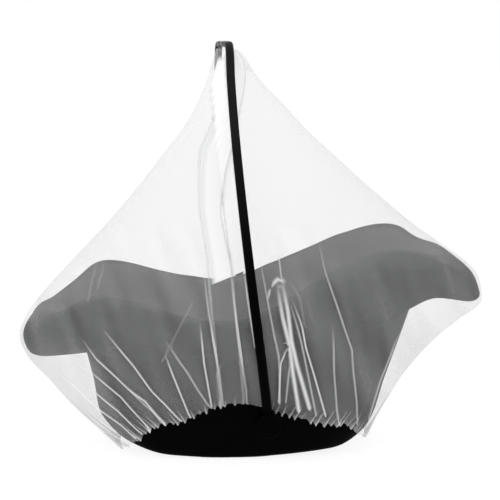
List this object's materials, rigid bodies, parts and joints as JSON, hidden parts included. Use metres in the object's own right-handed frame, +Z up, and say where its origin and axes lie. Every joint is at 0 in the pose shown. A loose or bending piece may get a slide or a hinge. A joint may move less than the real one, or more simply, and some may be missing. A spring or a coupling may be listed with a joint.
{
  "type": "mosquito net on infant carrier",
  "caption": "Sheer mosquito net hung in loops from the raised handle of an infant carrier, tented over the seat and gathered round its rocker by an elastic hem.",
  "frame": {"origin": "on the floor, under the middle of the whole object's box", "axes": "+Z up, +X towards the head end of the carrier, +Y towards the side away from the pleat in the net"},
  "size_m": [0.6906, 0.4262, 0.5953],
  "materials": {
    "net_cloth": "sheer white polyester hexagonal mesh",
    "liner_cloth": "dark charcoal woven padding",
    "shell_plastic": "black moulded plastic, lightly textured",
    "handle_coat": "black coated bar with a soft sheen"
  },
  "bodies": {
    "root": {"net": "net_cloth", "loop_near": "net_cloth", "loop_far": "net_cloth", "liner": "liner_cloth", "shell": "shell_plastic", "handle": "handle_coat"}
  },
  "joints": []
}
